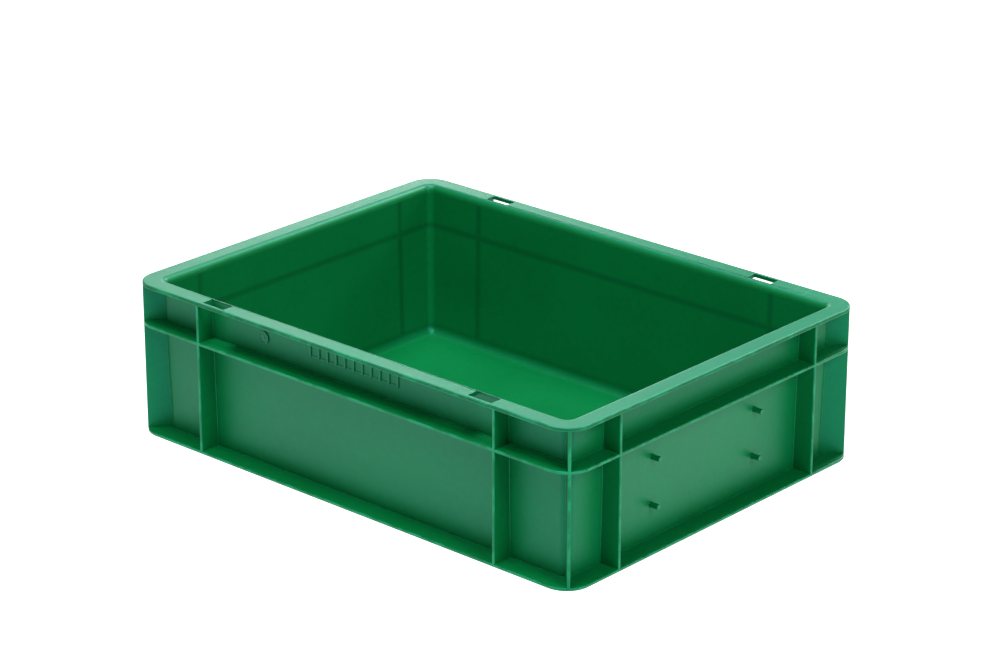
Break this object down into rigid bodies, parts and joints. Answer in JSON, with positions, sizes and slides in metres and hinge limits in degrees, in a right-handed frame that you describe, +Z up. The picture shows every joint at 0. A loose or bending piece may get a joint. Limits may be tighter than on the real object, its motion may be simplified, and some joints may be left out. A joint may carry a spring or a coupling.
{
  "type": "stacking plastic crate",
  "caption": "Low rectangular stacking crate in moulded plastic: open tub with a flat slotted rim, a middle band, upright ribs and a base flange that rests on the crate below.",
  "frame": {"origin": "on the ground, under the middle of the crate", "axes": "+X along the long sides, towards the short side with the label pegs; +Y towards the back long side, away from the side with the dial; +Z up"},
  "size_m": [0.4, 0.3, 0.12],
  "materials": {
    "crate_plastic": "smooth injection-moulded polypropylene in mid green, semi-gloss"
  },
  "bodies": {
    "root": {"base_flange_back": "crate_plastic", "base_flange_corner_back_left": "crate_plastic", "base_flange_corner_back_right": "crate_plastic", "base_flange_corner_front_left": "crate_plastic", "base_flange_corner_front_right": "crate_plastic", "base_flange_front": "crate_plastic", "base_flange_left": "crate_plastic", "base_flange_right": "crate_plastic", "corner_rib_back_left": "crate_plastic", "corner_rib_back_right": "crate_plastic", "corner_rib_front_left": "crate_plastic", "corner_rib_front_right": "crate_plastic", "date_dial": "crate_plastic", "floor_panel": "crate_plastic", "foot_bar_back": "crate_plastic", "foot_bar_front": "crate_plastic", "foot_bar_left": "crate_plastic", "foot_bar_right": "crate_plastic", "label_peg_lower_back": "crate_plastic", "label_peg_lower_front": "crate_plastic", "label_peg_upper_back": "crate_plastic", "label_peg_upper_front": "crate_plastic", "mid_band_back": "crate_plastic", "mid_band_back_left": "crate_plastic", "mid_band_back_right": "crate_plastic", "mid_band_front": "crate_plastic", "mid_band_front_left": "crate_plastic", "mid_band_front_right": "crate_plastic", "mid_band_left": "crate_plastic", "mid_band_left_back": "crate_plastic", "mid_band_left_front": "crate_plastic", "mid_band_right": "crate_plastic", "mid_band_right_back": "crate_plastic", "mid_band_right_front": "crate_plastic", "rib_back_left": "crate_plastic", "rib_back_right": "crate_plastic", "rib_front_left": "crate_plastic", "rib_front_right": "crate_plastic", "rib_left_back": "crate_plastic", "rib_left_front": "crate_plastic", "rib_right_back": "crate_plastic", "rib_right_front": "crate_plastic", "rim_back": "crate_plastic", "rim_corner_back_left": "crate_plastic", "rim_corner_back_right": "crate_plastic", "rim_corner_front_left": "crate_plastic", "rim_corner_front_right": "crate_plastic", "rim_front": "crate_plastic", "rim_left": "crate_plastic", "rim_right": "crate_plastic", "tick_scale": "crate_plastic", "wall_back": "crate_plastic", "wall_corner_back_left": "crate_plastic", "wall_corner_back_right": "crate_plastic", "wall_corner_front_left": "crate_plastic", "wall_corner_front_right": "crate_plastic", "wall_front": "crate_plastic", "wall_left": "crate_plastic", "wall_right": "crate_plastic"}
  },
  "joints": []
}
